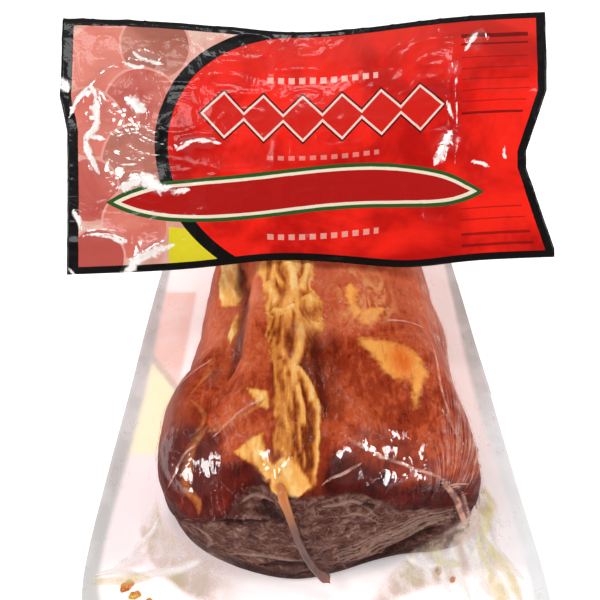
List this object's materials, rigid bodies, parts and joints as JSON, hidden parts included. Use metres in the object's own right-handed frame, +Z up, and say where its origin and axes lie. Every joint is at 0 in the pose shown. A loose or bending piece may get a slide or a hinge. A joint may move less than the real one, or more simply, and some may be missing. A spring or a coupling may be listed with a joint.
{
  "type": "vacuum packed smoked pork loin",
  "caption": "Smoked pork loin in a clear vacuum pouch, its printed free end folded up over the far half of the meat.",
  "frame": {"origin": "under the middle of the whole pack, on the surface that it lies on", "axes": "+Z up, +Y along the loin from its cut near end to the folded end, +X to the right seen from the near end"},
  "size_m": [0.1778, 0.2004, 0.1282],
  "materials": {
    "smoked_meat": "glossy",
    "pale_film": "glossy",
    "printed_film": "glossy",
    "clear_film": "clear gloss"
  },
  "bodies": {
    "root": {"wrapped_loin": "smoked_meat", "back_film": "pale_film", "printed_flap": "printed_film"}
  },
  "joints": []
}
